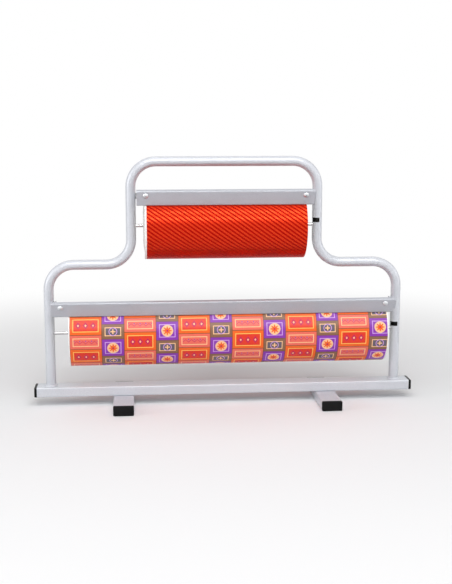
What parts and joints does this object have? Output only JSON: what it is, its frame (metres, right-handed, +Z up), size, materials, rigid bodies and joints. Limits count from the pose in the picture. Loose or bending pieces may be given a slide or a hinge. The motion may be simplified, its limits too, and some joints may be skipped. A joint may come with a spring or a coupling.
{
  "type": "two-tier wrapping paper roll dispenser",
  "caption": "Counter stand of bent steel tube that holds a narrow and a wide roll of wrapping paper, each under a swinging cutter bar.",
  "frame": {"origin": "on the counter, midway between the legs and below the plane of the bent tube", "axes": "+X along the rolls to the right, -Y towards the side the paper is pulled from, +Z up"},
  "size_m": [0.738, 0.19, 0.4785],
  "materials": {
    "frame_paint": "satin silver-grey powder coat",
    "bar_paint": "satin silver-grey powder coat",
    "cap_plastic": "moulded, lightly textured",
    "zinc_steel": "bright zinc plate",
    "rod_steel": "drawn bright steel",
    "nylon": "natural moulded nylon",
    "core_board": "spiral-wound board",
    "striped_paper": "glossy printed paper",
    "patchwork_paper": "glossy printed paper"
  },
  "bodies": {
    "frame": {"frame_tube": "frame_paint", "base_rail": "frame_paint", "rail_cap_left": "cap_plastic", "rail_cap_right": "cap_plastic", "left_leg": "frame_paint", "right_leg": "frame_paint", "left_leg_front_cap": "cap_plastic", "left_leg_rear_cap": "cap_plastic", "right_leg_front_cap": "cap_plastic", "right_leg_rear_cap": "cap_plastic", "left_leg_screws": "zinc_steel", "right_leg_screws": "zinc_steel", "upper_pivot_screws": "zinc_steel", "lower_pivot_screws": "zinc_steel", "upper_pivot_spacers": "nylon", "lower_pivot_spacers": "nylon"},
    "upper_cutter": {"upper_cutter_bar": "bar_paint", "upper_left_arm": "bar_paint", "upper_right_arm": "bar_paint", "upper_bar_bolts": "zinc_steel", "upper_bar_nuts": "zinc_steel"},
    "lower_cutter": {"lower_cutter_bar": "bar_paint", "lower_left_arm": "bar_paint", "lower_right_arm": "bar_paint", "lower_bar_bolts": "zinc_steel", "lower_bar_nuts": "zinc_steel"},
    "upper_rod": {"upper_rod": "rod_steel"},
    "upper_roll": {"upper_core": "core_board", "upper_left_plug": "nylon", "upper_right_plug": "nylon", "upper_paper": "striped_paper"},
    "lower_rod": {"lower_rod": "rod_steel"},
    "lower_roll": {"lower_core": "core_board", "lower_left_plug": "nylon", "lower_right_plug": "nylon", "lower_paper": "patchwork_paper"}
  },
  "joints": [
    {"name": "upper_cutter_lift", "type": "hinge", "parent": "frame", "child": "upper_cutter", "pos_m": [0, 0, 0.4037], "axis": [-1, 0, 0], "range_deg": [0, 62]},
    {"name": "lower_cutter_lift", "type": "hinge", "parent": "frame", "child": "lower_cutter", "pos_m": [0, 0, 0.1973], "axis": [-1, 0, 0], "range_deg": [0, 62]},
    {"name": "upper_rod_slide", "type": "slide", "parent": "frame", "child": "upper_rod", "axis": [1, 0, 0], "range_m": [-0.007, 0.007]},
    {"name": "lower_rod_slide", "type": "slide", "parent": "frame", "child": "lower_rod", "axis": [1, 0, 0], "range_m": [-0.007, 0.007]},
    {"name": "upper_roll_spin", "type": "hinge", "parent": "upper_rod", "child": "upper_roll", "pos_m": [0, 0, 0.3453], "axis": [1, 0, 0], "continuous": true},
    {"name": "lower_roll_spin", "type": "hinge", "parent": "lower_rod", "child": "lower_roll", "pos_m": [0, 0, 0.1389], "axis": [1, 0, 0], "continuous": true}
  ]
}
